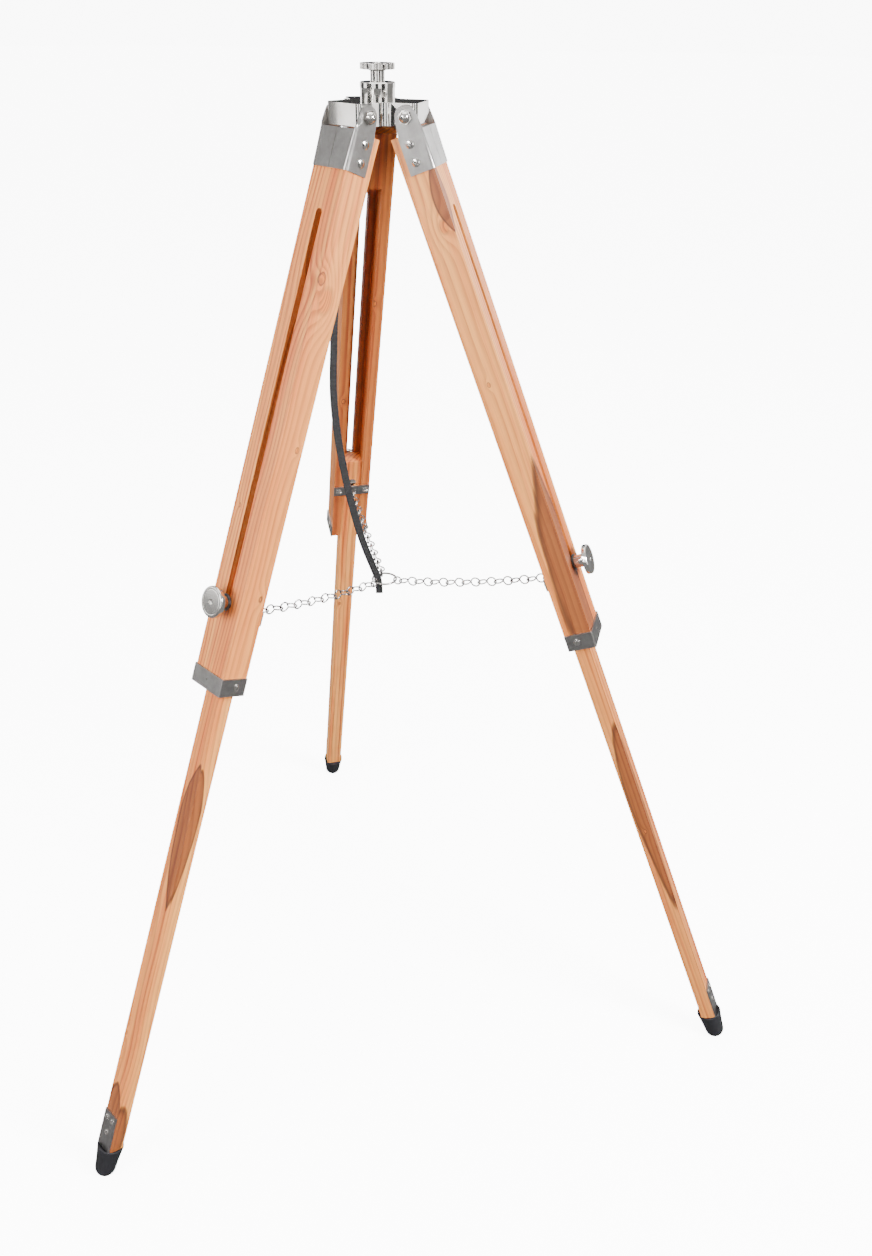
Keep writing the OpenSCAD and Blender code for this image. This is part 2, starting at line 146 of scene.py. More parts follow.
class Finish:
    """A material in the making. node() adds any node and gives one of its outputs as a Wire."""

    def __init__(self, name):
        self.material = bpy.data.materials.new(name)
        self.material.use_nodes = True
        self.tree = self.material.node_tree
        self.tree.nodes.clear()

    def node(self, kind, settings=None, sockets=None, output=0):
        made = self.tree.nodes.new("ShaderNode" + kind)
        for key, value in (settings or {}).items():
            setattr(made, key, value)
        for key, value in (sockets or {}).items():
            if isinstance(value, Wire):
                self.tree.links.new(value.socket, made.inputs[key])
            else:
                made.inputs[key].default_value = value
        return Wire(self, made.outputs[output]) if made.outputs else None

    def noise(self, place, scale, detail=2.0, roughness=0.5):
        return self.node("TexNoise", None, {"Vector": place, "Scale": scale, "Detail": detail,
                                            "Roughness": roughness})

    def mix(self, share, first, second):
        """The first colour where share is 0, and the second where it is 1."""
        colours = {k: v if isinstance(v, Wire) else (*v, 1) for k, v in ((6, first), (7, second))}
        return self.node("Mix", {"data_type": "RGBA"}, {0: share, **colours}, output=2)

    def bump(self, height, strength, distance):
        return self.node("Bump", None, {"Strength": strength, "Distance": distance, "Height": height})

    def surface(self, **sockets):
        shader = self.node("BsdfPrincipled", None, {k.replace("_", " "): v for k, v in sockets.items()})
        self.node("OutputMaterial", None, {"Surface": shader})
        return self.material


def tint(red, green, blue):
    """A colour in display values from 0 to 255, as linear light."""
    shares = (red / 255, green / 255, blue / 255)
    return tuple(((c + 0.055) / 1.055) ** 2.4 if c > 10 / 255 else c / 12.92 for c in shares)


def floor_finish():
    """White floor lit from below, with a faint slow mottle."""
    f = Finish("white_floor")
    mottle = f.noise(f.node("TexCoord", output=3), 1.3, 3.0)
    return f.surface(Base_Color=f.mix(mottle, tint(246, 246, 246), tint(252, 252, 252)), Roughness=0.8,
                     Emission_Color=(1.0, 1.0, 1.0, 1), Emission_Strength=FLOOR_GLOW)


def flat_card(name, corners, material):
    """One four-cornered face through its corners."""
    mesh = bpy.data.meshes.new(name)
    mesh.from_pydata(corners, [], [(0, 1, 2, 3)])
    mesh.materials.append(material)
    card = bpy.data.objects.new(name, mesh)
    bpy.context.scene.collection.objects.link(card)
    card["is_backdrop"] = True
    return card


FLOOR_HALF = 30.0
floor = flat_card("floor", [(-FLOOR_HALF, -FLOOR_HALF, 0), (FLOOR_HALF, -FLOOR_HALF, 0),
                            (FLOOR_HALF, FLOOR_HALF, 0), (-FLOOR_HALF, FLOOR_HALF, 0)], floor_finish())
floor.visible_diffuse = floor.visible_glossy = False


def upright_corners(radius, start, end, low, high):
    """The corners of an upright card between two angles, in radians, of a circle round the origin."""
    (x0, y0), (x1, y1) = ((radius * math.cos(a), radius * math.sin(a)) for a in (start, end))
    return [(x0, y0, low), (x1, y1, low), (x1, y1, high), (x0, y0, high)]


BACKDROP_RADIUS, BACKDROP_HIGH, BACKDROP_SIDES = 29.0, 60.0, 12
angles = np.linspace(0, 2 * math.pi, BACKDROP_SIDES + 1)
for number, (start, end) in enumerate(zip(angles[:-1], angles[1:])):
    wall = flat_card("backdrop_%d" % number, upright_corners(BACKDROP_RADIUS, start, end, 0, BACKDROP_HIGH),
                     floor.data.materials[0])
    wall.visible_diffuse = wall.visible_glossy = wall.visible_shadow = False

CARD_RADIUS, CARD_LOW, CARD_HIGH, CARD_GLOW = 3.2, 0.62, 1.9, 1.6
dark = Finish("card_black").surface(Base_Color=(0.01, 0.01, 0.01, 1), Roughness=0.9)
pale = Finish("card_white").surface(Base_Color=(0.8, 0.8, 0.8, 1), Roughness=0.9,
                                    Emission_Color=(1.0, 1.0, 1.0, 1), Emission_Strength=CARD_GLOW)
CARDS = ((18, 58, pale), (60, 84, dark), (86, 126, pale), (128, 150, dark), (161.5, 184, pale),
         (186, 220, dark), (222, 244, pale), (246, 262, dark), (264, 282, pale), (284, 306, dark),
         (308, 322, pale))
for number, (start, end, card_finish) in enumerate(CARDS):
    corners = upright_corners(CARD_RADIUS, math.radians(start), math.radians(end), CARD_LOW, CARD_HIGH)
    card = flat_card("card_%d" % number, corners, card_finish)
    card.visible_camera = card.visible_diffuse = card.visible_shadow = False

SKY_LOW, SKY_HIGH = 0.3, 1.1
world = bpy.data.worlds.new("studio")
world.use_nodes = True
sky = world.node_tree
rise = sky.nodes.new("ShaderNodeSeparateXYZ")
glow = sky.nodes.new("ShaderNodeMapRange")
sky.links.new(sky.nodes.new("ShaderNodeTexCoord").outputs["Generated"], rise.inputs[0])
sky.links.new(rise.outputs["Z"], glow.inputs["Value"])
sky.nodes["Background"].inputs["Color"].default_value = (1, 1, 1, 1)
glow.inputs["To Min"].default_value, glow.inputs["To Max"].default_value = SKY_LOW, SKY_HIGH
sky.links.new(glow.outputs[0], sky.nodes["Background"].inputs["Strength"])
bpy.context.scene.world = world


LIT_MIDDLE = Vector((0, 0, 0.55))


def soft_light(name, place, size, power):
    """A square area light at place that faces the middle of the tripod."""
    data = bpy.data.lights.new(name, "AREA")
    data.size, data.energy = size, power
    light = bpy.data.objects.new(name, data)
    light.location = place
    light.rotation_mode = "QUATERNION"
    light.rotation_quaternion = (LIT_MIDDLE - Vector(place)).to_track_quat("-Z", "Y")
    bpy.context.scene.collection.objects.link(light)


soft_light("key_light", (2.4, -2.6, 2.2), 1.4, 420)
soft_light("fill_light", (-2.8, -1.6, 1.8), 1.8, 190)
soft_light("top_light", (0.2, 0.6, 3.6), 2.6, 70)

# ---- Tie strap --------------------------------------------------------------------------------
# Black woven webbing, 8 mm wide. It hangs from a button under the head, bows out to one side, and
# its cut end pokes through the ring. The route is the CAD strap's: [sideways, height] in mm.

STRAP_WIDE, STRAP_THICK = 8 * MM, 1.6 * MM
STRAP_ROUTE = np.array([
    [-12, -11.1], [-12, -24], [-24, -75], [-37, -125], [-45, -175], [-48, -215], [-50, -260], [-48, -300],
    [-43, -340], [-35, -385], [-24, -430], [-12, -465], [-7, -480], [-6, -497]]) * MM
STRAP_AZIMUTH = math.radians(-15.4)
STRAP_TURN = math.radians(50)
WEBBING_BLACK, WEBBING_WORN = tint(4, 4, 5), tint(26, 26, 30)
body_of = {node: body for body, nodes in frame["record"]["behaviour"]["bodies"].items() for node in nodes}


def in_row_frame(points, place):
    """Points given in a local frame, through that frame's 4x4 matrix."""
    m = np.array(place)
    return points @ m[:3, :3].T + m[:3, 3]


def surface_piece(name, grid, place, sharp=38):
    """A closed skin over a grid of points: rows follow the path or profile, columns go round it. The
    first and last rows are closed by a fan to their middle. Coincident points of a pole are merged, and
    faces are turned outward."""
    rows, columns = grid.shape[:2]
    index = np.arange(rows * columns).reshape(rows, columns)
    beside = np.roll(index, -1, 1)
    points = grid.reshape(-1, 3)
    quads = np.stack([index[:-1], beside[:-1], beside[1:], index[1:]], -1).reshape(-1, 4)
    points = np.vstack([points, grid[0].mean(0), grid[-1].mean(0)])
    first, last = np.full(columns, rows * columns), np.full(columns, rows * columns + 1)
    faces = quads.tolist() + np.stack([first, beside[0], index[0]], -1).tolist()
    faces += np.stack([last, index[-1], beside[-1]], -1).tolist()
    return skin(name, in_row_frame(points, place), faces, sharp)


def skin(name, points, faces, sharp):
    """An object from points and faces, merged, turned outward and smooth but at edges over sharp degrees."""
    mesh = bpy.data.meshes.new(name)
    mesh.from_pydata(points.tolist(), [], faces)
    shell = bmesh.new()
    shell.from_mesh(mesh)
    bmesh.ops.remove_doubles(shell, verts=shell.verts, dist=1e-6)
    bmesh.ops.recalc_face_normals(shell, faces=shell.faces)
    shell.to_mesh(mesh)
    shell.free()
    mesh.polygons.foreach_set("use_smooth", np.ones(len(mesh.polygons), bool))
    mesh.set_sharp_from_angle(angle=math.radians(sharp))
    piece = bpy.data.objects.new(name, mesh)
    bpy.context.scene.collection.objects.link(piece)
    return piece


def stands_for(piece, node, material):
    """The piece shows in place of a CAD node: on its body, in its material slot."""
    piece.data.materials.clear()
    piece.data.materials.append(material)
    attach(piece, body_of[node])
    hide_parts(node)
    return piece


def webbing_finish():
    """Two sets of ribs, sines along and across the band, with lint from a fine noise."""
    f = Finish("black_webbing")
    weave = f.node("UVMap", {"uv_map": "weave"})
    across, along, _ = weave.parts()
    yarn = (along * 4200).math("SINE") * (across * 5600).math("SINE")
    rib = (along * 2100 + (across * 2800).math("SINE") * 0.6).math("SINE")
    lint = f.noise(weave, 900.0, 3.0)
    colour = f.mix(yarn.ease(-0.8, 0.9) * 0.5 + lint * 0.3, WEBBING_BLACK, WEBBING_WORN)
    return f.surface(Base_Color=colour, Roughness=lint * 0.15 + 0.72, Sheen_Weight=0.15,
                     Normal=f.bump(yarn * 0.5 + rib * 0.5, 0.6, 0.0003))


def route_points(route, count):
    """Points on a Catmull-Rom curve: between two route points, a cubic set by the four nearest."""
    t = np.linspace(0, len(route) - 1, count)
    i = np.minimum(t.astype(int), len(route) - 2)
    f = (t - i)[:, None]
    a, b, c, d = (route[np.clip(i + k, 0, len(route) - 1)] for k in (-1, 0, 1, 2))
    return (2 * b + (c - a) * f + (2 * a - 5 * b + 4 * c - d) * f**2 + (3 * b - a - 3 * c + d) * f**3) / 2


def webbing_band():
    """A flat section, a superellipse of the strap's width and thickness, carried along the route. It
    starts turned by STRAP_TURN and untwists evenly, and its UV is (way across, way along) in metres."""
    here = route_points(STRAP_ROUTE, 181)
    share = np.linspace(0, 1, len(here))[:, None]
    along = np.gradient(here, axis=0)
    along /= np.linalg.norm(along, axis=1)[:, None]
    turn = STRAP_TURN * (1 - share)
    flat = np.concatenate([-along[:, 1:], 0 * share, along[:, :1]], 1)
    level = np.array([[0, 1.0, 0]])
    wide = flat * np.cos(turn) + level * np.sin(turn)
    thin = level * np.cos(turn) - flat * np.sin(turn)
    angle = np.linspace(0, 2 * np.pi, 28, endpoint=False)
    x = np.sign(np.cos(angle)) * np.abs(np.cos(angle)) ** 0.35 * STRAP_WIDE / 2
    y = np.sign(np.sin(angle)) * np.abs(np.sin(angle)) ** 0.5 * STRAP_THICK / 2
    centre = np.concatenate([here[:, :1], 0 * share, here[:, 1:]], 1)
    grid = centre[:, None] + x[:, None] * wide[:, None] + y[:, None] * thin[:, None]
    place = Matrix.Translation(head) @ Matrix.Rotation(STRAP_AZIMUTH, 4, "Z")
    band = surface_piece("tie_strap_webbing", grid, place)
    run = np.concatenate([[0], np.cumsum(np.linalg.norm(np.diff(here, axis=0), axis=1))])
    uv = np.stack(np.broadcast_arrays((x + y)[None], run[:, None]), -1).reshape(-1, 2)
    uv = np.vstack([uv, [0, 0], [0, run[-1]]])
    corners = np.empty(len(band.data.loops), int)
    band.data.loops.foreach_get("vertex_index", corners)
    band.data.uv_layers.new(name="weave").data.foreach_set("uv", uv[corners].ravel())
    return band, in_row_frame(centre, place), float(run[-1])


strap, strap_path, strap_length = webbing_band()
stands_for(strap, "tie_strap", webbing_finish())
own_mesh(strap)

# ---- Head -------------------------------------------------------------------------------------
# A plated casting with three broad round-cornered arms carries a turned drum, a flange and a plain
# neck, and a thumb nut with a notched rim. A slotted set screw holds the drum on its spigot.

EASE = 0.5 * MM


def plated_finish(name, light, dark, rough, brushing, grain=(60.0, 60.0, 60.0), at=Matrix()):
    """Plated metal: fine brushing stretched by grain, slow cloudy marks, and small dull specks."""
    f = Finish(name)
    place = f.node("Mapping", {"vector_type": "TEXTURE"},
                   {"Vector": f.node("TexCoord", output=3), "Location": at.translation,
                    "Rotation": at.to_euler("XYZ")})
    brush = f.noise(f.node("Mapping", None, {"Vector": place, "Scale": grain}), 1.0, 3.0)
    cloud = f.noise(place, 70.0, 4.0, 0.6)
    specks = f.noise(place, 900.0, 2.0).ease(0.62, 0.8)
    colour = f.mix(cloud.ease(0.3, 0.7) * 0.7 + brush * 0.3, light, dark)
    return f.surface(Base_Color=colour, Metallic=1.0, Roughness=cloud * 0.12 + specks * 0.15 + rough,
                     Normal=f.bump(brush + specks * 0.3, brushing, 0.0001))


def turned(name, profile, place, steps=96, sharp=30):
    """A lathe shape: the profile, a line of (radius, height), is turned round the place's own Z axis."""
    profile = np.array(profile, float)
    angle = np.linspace(0, 2 * np.pi, steps, endpoint=False)
    r, z = profile[:, :1], profile[:, 1:]
    grid = np.stack([r * np.cos(angle), r * np.sin(angle), z + 0 * angle], -1)
    return surface_piece(name, grid, place, sharp=sharp)


def rounded(corners, size=EASE, steps=5):
    """A profile's inner corners rounded: each is replaced by points of a quadratic curve that starts and
    ends a size away from it, or less where the next corner is near."""
    corners = np.array(corners, float)
    line = [corners[:1]]
    for before, corner, after in zip(corners[:-2], corners[1:-1], corners[2:]):
        back, on = before - corner, after - corner
        reach = min(size, np.linalg.norm(back) * 0.45, np.linalg.norm(on) * 0.45)
        start = corner + back / np.linalg.norm(back) * reach
        end = corner + on / np.linalg.norm(on) * reach
        t = np.linspace(0, 1, steps)[:, None]
        line.append(start * (1 - t) ** 2 + corner * 2 * t * (1 - t) + end * t**2)
    return np.vstack(line + [corners[-1:]])


def eased_copy(node, width=EASE, segments=3, sharp=32, bends=None, bend_size=0.0):
    """A CAD node's shape, merged, with bevelled edges. The edges that bends picks get a bigger bevel."""
    shell = bmesh.new()
    shell.from_mesh(frame["nodes"][node].data)
    bmesh.ops.remove_doubles(shell, verts=shell.verts, dist=2e-6)
    bmesh.ops.dissolve_limit(shell, angle_limit=math.radians(0.5), verts=shell.verts, edges=shell.edges)
    if bends:
        picked = [e for e in shell.edges if bends(e)]
        bmesh.ops.bevel(shell, geom=picked, offset=bend_size, segments=8, profile=0.5, affect="EDGES")
    mesh = bpy.data.meshes.new(node + "_shape")
    shell.to_mesh(mesh)
    shell.free()
    mesh.polygons.foreach_set("use_smooth", np.ones(len(mesh.polygons), bool))
    mesh.set_sharp_from_angle(angle=math.radians(sharp))
    piece = bpy.data.objects.new(node + "_shape", mesh)
    bpy.context.scene.collection.objects.link(piece)
    edge = piece.modifiers.new("eased", "BEVEL")
    edge.width, edge.segments = width, segments
    edge.limit_method, edge.angle_limit = "ANGLE", math.radians(35)
    edge.harden_normals = True
    return piece


polished = plated_finish("polished_plate", tint(236, 233, 228), tint(206, 202, 197), 0.04, 0.02)
dull_steel = plated_finish("dull_steel", tint(128, 125, 121), tint(96, 94, 92), 0.28, 0.12)
stands_for(eased_copy("head_hub", 0.9 * MM, 4), "head_hub", polished)
for node, width in (("head_drum", 0.5), ("centre_stud", 0.4), ("thumb_nut", 0.3), ("strap_anchor", 0.5)):
    stands_for(eased_copy(node, width * MM), node, polished)
for node in ("set_screw", "thumb_washer"):
    stands_for(eased_copy(node, 0.15 * MM), node, dull_steel)

# ---- Hinges and casings -----------------------------------------------------------------------
# Each leg turns on a bolt with a domed nut. Its top is cased in two sheet-steel cheeks, folded
# round the leg's front corners to meet in a seam, with satin plating.

LEGS = ("left", "right", "rear")
CORNER_BEND = 4 * MM
SHEET_EDGE = 0.3 * MM


def leg_frame(leg):
    """A leg's own frame at its hinge: X across the leg, Y out of its outer face, Z up along it."""
    across = Vector(joints[leg + "_leg_fold"]["axis"]).normalized()
    along = Vector(joints[leg + "_leg_slide"]["axis"]).normalized()
    place = Matrix((across, along.cross(across), along)).transposed().to_4x4()
    place.translation = joints[leg + "_leg_fold"]["pos_m"]
    return place


leg_at = {leg: leg_frame(leg) for leg in LEGS}


def leg_span(leg, node):
    """Lowest and highest corner of a CAD node in its leg's frame."""
    mesh = frame["nodes"][leg + node].data
    points = np.empty(len(mesh.vertices) * 3)
    mesh.vertices.foreach_get("co", points)
    local = in_row_frame(points.reshape(-1, 3), leg_at[leg].inverted())
    return local.min(0), local.max(0)


def front_corners(leg, node):
    """Picks the long edges of a fitting where its front meets its sides."""
    low, high = leg_span(leg, node)
    half, front = max(-low[0], high[0]), high[1]
    inverse, near = leg_at[leg].inverted(), 0.1 * MM

    def picks(edge):
        a, b = (inverse @ v.co for v in edge.verts)
        upright = abs(a.x - b.x) < near and abs(a.y - b.y) < near and abs(a.z - b.z) > 5 * MM
        return upright and abs(abs(a.x) - half) < near and abs(a.y - front) < near
    return picks


BRUSHED = (2600.0, 2600.0, 120.0)
SATIN_LIGHT, SATIN_DARK = tint(178, 176, 174), tint(148, 145, 143)
satin = {leg: plated_finish(leg + "_satin_plate", SATIN_LIGHT, SATIN_DARK, 0.24, 0.04, BRUSHED, leg_at[leg])
         for leg in LEGS}
for leg in LEGS:
    for node in ("_cheek_plate_a", "_cheek_plate_b"):
        cheek = eased_copy(leg + node, SHEET_EDGE, 2, bends=front_corners(leg, node), bend_size=CORNER_BEND)
        stands_for(cheek, leg + node, satin[leg])
    for node in ("_hinge_bolt", "_hinge_nut"):
        stands_for(eased_copy(leg + node, 0.4 * MM), leg + node, polished)

# ---- Wooden legs ------------------------------------------------------------------------------
# Knotty softwood under a thin satin varnish. The year rings, knots and brown heartwood differ
# from plank to plank. The upper leg is two rails joined by its slotted front board, and the
# lower leg is a square batten that slides between them.

EDGE_ROUND = 0.9 * MM
SAPWOOD, HONEY, AMBER = tint(244, 170, 88), tint(216, 118, 48), tint(150, 60, 14)
BLUSH, PAINTED_SHADE_UMBER = tint(206, 94, 40), tint(104, 50, 24)
KNOT, KNOT_LINE = tint(150, 76, 26), tint(56, 22, 8)
HEARTWOOD, HEART_DEEP, HEART_LINE = tint(134, 70, 32), tint(84, 38, 15), tint(40, 16, 7)
RING_WIDTH = 4.2 * MM


def timber_finish(name, leg, pith, knots=(), hearts=(), tone=0.5, painted_shade=0.0, seed=0.0, half=22.5):
    """Year rings are bands of the distance from a pith that lies outside the plank, and each knot pushes
    them aside by a bell curve. Noise stretched along the leg gives streaks and pores. Heartwood is a
    pointed oval. Knots are (across, out, down, radius), and hearts are (across, out, down, half width,
    half depth, up, down), in mm."""
    f = Finish(name)
    at = leg_at[leg]
    place = f.node("Mapping", {"vector_type": "TEXTURE"},
                   {"Vector": f.node("TexCoord", output=3), "Location": at.translation,
                    "Rotation": at.to_euler("XYZ")})
    x, y, z = place.parts()

    def along_grain(across, along, shift, detail=2.0, roughness=0.5):
        stretched = f.node("Mapping", None, {"Vector": place, "Location": (seed + shift, seed * 1.7, shift),
                                             "Scale": (across, across, along)})
        return f.noise(stretched, 1.0, detail, roughness)

    sway = along_grain(9, 2.4, 0) - 0.5
    wobble = along_grain(70, 11, 3, 3.0) - 0.5
    streak = along_grain(150, 2.4, 7, 4.0, 0.62)
    broad = along_grain(46, 1.5, 5, 2.0)
    pores = along_grain(1700, 30, 11, 3.0)
    side, deep = x - pith[0] * MM + sway * 0.03, y - pith[1] * MM + sway * 0.024
    radius = (side * side + deep * deep).math("SQRT") + wobble * 0.0018
    knot = rim = None
    for across, out, down, size in knots:
        dx, dy, dz = x - across * MM, y - out * MM, (z + down * MM) * 0.66
        away = (dx * dx + dy * dy + dz * dz).math("SQRT") / (size * MM) + wobble * 0.55
        radius = radius + (away * away * -0.16).math("EXPONENT") * (size * 1.7 * MM)
        inside = 1 - away.ease(0.7, 1.05)
        line = away.ease(0.72, 0.98) * (1 - away.ease(1.0, 1.3))
        knot = inside if knot is None else knot.math("MAXIMUM", inside)
        line = line * (1.0 if size < 4 else 0.3)
        rim = line if rim is None else rim.math("MAXIMUM", line)
    ring = (radius / RING_WIDTH).math("FRACT")
    late = ring.ease(0.3, 0.9) * (1 - ring.ease(0.93, 1.0))
    colour = f.mix(broad.ease(0.32, 0.68) * 0.6 + (tone - 0.3), SAPWOOD, HONEY)
    colour = f.mix(streak.ease(0.46, 0.66) * 0.75, colour, BLUSH)
    colour = f.mix(late * (streak.ease(0.3, 0.75) * 0.6 + 0.3), colour, AMBER)
    colour = f.mix(pores.ease(0.4, 0.75) * 0.3, colour, AMBER)
    # Painted light: the two side faces of the leg are lightened towards sapwood, standing in for the light that
    # falls on them.
    painted_light_sides = x.math("ABSOLUTE").ease((half - 1.0) * MM, (half - 0.3) * MM)
    colour = f.mix(painted_light_sides * 0.15, colour, SAPWOOD)
    # Painted shade: the plank is darkened towards umber so that the rear upper leg looks as if it stood in shade;
    # the right lower leg gets a little of it too.
    if painted_shade:
        colour = f.mix(painted_shade, colour, PAINTED_SHADE_UMBER)
    for across, out, down, wide, thick, up, fall in hearts:
        drop = 0 - z - down * MM
        run = (drop / (fall * MM)).math("MAXIMUM", drop / (-up * MM))
        dx, dy = (x - across * MM) / (wide * MM), (y - out * MM) / (thick * MM)
        away = (dx * dx + dy * dy).math("SQRT") + run * run * 0.9 + wobble * 0.3 + sway * 0.35
        inside = 1 - away.ease(0.92, 1.0)
        line = away.ease(0.8, 0.97) * (1 - away.ease(0.98, 1.06))
        figure = late * 0.45 + streak.ease(0.4, 0.75) * 0.45
        colour = f.mix(inside * 0.9, colour, f.mix(figure, HEARTWOOD, HEART_DEEP))
        colour = f.mix(line * 0.7, colour, HEART_LINE)
    if knots:
        swirl = (radius / (RING_WIDTH * 0.45)).math("FRACT").ease(0.2, 0.9)
        colour = f.mix(knot * 0.75, colour, f.mix(swirl, HONEY, KNOT))
        colour = f.mix(rim * 0.75, colour, KNOT_LINE)
    return f.surface(Base_Color=colour, Roughness=pores * 0.2 + 0.4, Coat_Weight=0.15, Coat_Roughness=0.25,
                     Normal=f.bump(pores * 0.6 + late * 0.4, 0.3, 0.0002))


planks = {
    "left": ((-70, -40), [(-22.5, -3, 160, 8.0), (-22.5, 7, 142, 3.5), (-20, -13, 452, 3.0),
                          (13.6, 9.8, 367, 1.5), (-22.5, -13, 300, 2.0)], [], 0.5, 0, 1.3),
    "right": ((95, -55), [(22.5, 0, 98, 4.5), (22.5, -8, 250, 1.6)],
              [(24, 11, 76, 12, 12, 40, 30), (25, 17, 500, 30, 30, 190, 260)], 0.5, 0, 4.1),
    "rear": ((-60, 60), [(12, -20.2, 199, 2.2), (-16, -20.2, 330, 2.2)], [], 0.7, 0.4, 8.2)}
battens = {
    "left": ((50, 70), [(8, -0.3, 980, 1.8)],
             [(-8, -1, 700, 15, 13, 58, 115), (2, -3, 1110, 20, 20, 70, 90)], 0.45, 0, 2.2, 11.2),
    "right": ((-40, 80), [(11, -8, 820, 1.8)], [(16, -2, 760, 12, 16, 120, 220)], 0.7, 0.15, 5.7, 11.2),
    "rear": ((60, -70), [(-6, -18, 700, 1.8)], [], 0.3, 0, 9.4, 11.2)}
for leg in LEGS:
    for node, timber in (("_upper_leg", planks), ("_lower_leg", battens)):
        wood = timber_finish(leg + node + "_timber", leg, *timber[leg])
        stands_for(eased_copy(leg + node, EDGE_ROUND), leg + node, wood)

# ---- Bands, bridge straps, foot plates and screws ---------------------------------------------
# Folded and flat sheet-steel fittings with the same satin plating. Slotted round-head wood
# screws hold them, and a pin fixes the band's front.

BAND_BEND = 1.3 * MM
for leg in LEGS:
    corners = front_corners(leg, "_end_band")
    band = eased_copy(leg + "_end_band", SHEET_EDGE, 2, bends=corners, bend_size=BAND_BEND)
    stands_for(band, leg + "_end_band", satin[leg])
    for node in ("_bridge_strap", "_foot_plate"):
        stands_for(eased_copy(leg + node, SHEET_EDGE, 2), leg + node, satin[leg])
    for node in ("_upper_screws", "_foot_screws"):
        stands_for(eased_copy(leg + node, 0.25 * MM, 2), leg + node, polished)

# ---- Clamps -----------------------------------------------------------------------------------
# A turned plated knob with a flat face and a bevelled rim tightens each sliding leg. Its
# boss bears on a dull washer, and the bolt runs in the leg's slot.

KNOB_R, BOSS_R, DIMPLE_R = 16 * MM, 7 * MM, 2.4 * MM


def knob_piece(leg):
    """A lathe profile in (radius, height out of the leg): boss, disc, bevelled rim, and a face with a
    shallow dimple and one fine turned groove, a bell curve 0.05 mm deep."""
    low, high = leg_span(leg, "_clamp_knob")
    boss, face = low[1], high[1]
    disc = face - 5.2 * MM
    centre = (low + high) / 2
    out = rounded([(3.1 * MM, boss), (BOSS_R, boss), (BOSS_R, disc), (KNOB_R, disc), (KNOB_R, face - 1 * MM),
                   (KNOB_R - 1 * MM, face), (DIMPLE_R, face), (DIMPLE_R, face - 0.8 * MM),
                   (0.1 * MM, face - 0.8 * MM)], 0.45 * MM)
    radius = np.linspace(KNOB_R - 1.6 * MM, DIMPLE_R + 0.6 * MM, 60)
    groove = 0.05 * MM * np.exp(-(((radius - 12.5 * MM) / (0.3 * MM)) ** 2))
    flat = np.stack([radius, face - groove], 1)
    split = np.argmax(out[:, 0] * (out[:, 1] > face - 1e-7) > 0) + 1
    after = np.nonzero((out[:, 0] < DIMPLE_R + 0.5 * MM) & (out[:, 1] > face - 1e-6))[0][0]
    profile = np.vstack([out[:split], flat, out[after:]])
    turn = leg_at[leg] @ Matrix.Translation((centre[0], 0, centre[2])) @ Matrix.Rotation(-math.pi / 2, 4, "X")
    return turned(leg + "_knob_turning", profile, turn, 128)


for leg in LEGS:
    stands_for(knob_piece(leg), leg + "_clamp_knob", polished)
    stands_for(eased_copy(leg + "_clamp_bolt", 0.25 * MM), leg + "_clamp_bolt", polished)
    stands_for(eased_copy(leg + "_clamp_washer", 0.25 * MM), leg + "_clamp_washer", dull_steel)

# ---- Chains, eyes and ring --------------------------------------------------------------------
# Jack chain: each link is one wire bent into two loops a quarter turn apart, with a twisted neck
# between them. The three chains meet at a plain wire ring on the head's axis.

LINKS, CHAIN_SAG = 9, 4 * MM
CHAIN_WIRE, RING_WIRE, EYE_WIRE, BEARING_GAP = 0.85 * MM, 1.15 * MM, 1.0 * MM, 0.25 * MM
LOOP_CROSS, JOIN_R = 0.7 * MM, 4.5 * MM
wire_plate = plated_finish("wire_plate", tint(198, 196, 193), tint(140, 138, 136), 0.1, 0.02)


def wire_points(path, beside, thick, sides):
    """A circle of the wire's radius at each point of a closed path, set square to it. The direction
    beside, given at each point, is kept as far as squareness allows."""
    step = np.roll(path, -1, 0) - np.roll(path, 1, 0)
    step /= np.linalg.norm(step, axis=1)[:, None]
    out = beside - step * (beside * step).sum(1)[:, None]
    out /= np.linalg.norm(out, axis=1)[:, None]
    other = np.cross(step, out)
    angle = np.linspace(0, 2 * np.pi, sides, endpoint=False)[None, :, None]
    return path[:, None] + thick * (np.cos(angle) * out[:, None] + np.sin(angle) * other[:, None])


def link_points(loop_r):
    """One link's wire. Its length x follows a cosine, its half width is a circle in each loop and a narrow
    neck between, and its plane turns a quarter round x through the neck by a smooth step."""
    middle = loop_r + LOOP_CROSS / 2
    t = np.linspace(0, 2 * np.pi, 56, endpoint=False)
    x = -(middle + loop_r) * np.cos(t)
    neck = (CHAIN_WIRE * 1.02) ** 2 * np.clip(1 - np.abs(x) / middle, 0, 1)
    half = np.sqrt(np.clip(loop_r**2 - (np.abs(x) - middle) ** 2, 0, None) + neck) * np.sign(np.sin(t))
    part = np.clip(x / (3.2 * MM) + 0.5, 0, 1)
    turn = part * part * (3 - 2 * part) * np.pi / 2
    path = np.stack([x + middle + loop_r, half * np.sin(turn), half * np.cos(turn)], 1)
    flat = np.stack([0 * x, np.cos(turn), -np.sin(turn)], 1)
    return wire_points(path, flat, CHAIN_WIRE, 10)


def ring_points(radius, thick, axis, samples, sides):
    """A wire ring: a circle round the given axis, 1 for Y or 2 for Z."""
    t = np.linspace(0, 2 * np.pi, samples, endpoint=False)
    a, b = radius * np.cos(t), radius * np.sin(t)
    path = np.stack([a, b, 0 * t] if axis == 2 else [a, 0 * t, b], 1)
    return wire_points(path, np.broadcast_to(np.eye(3)[axis], path.shape), thick, sides)


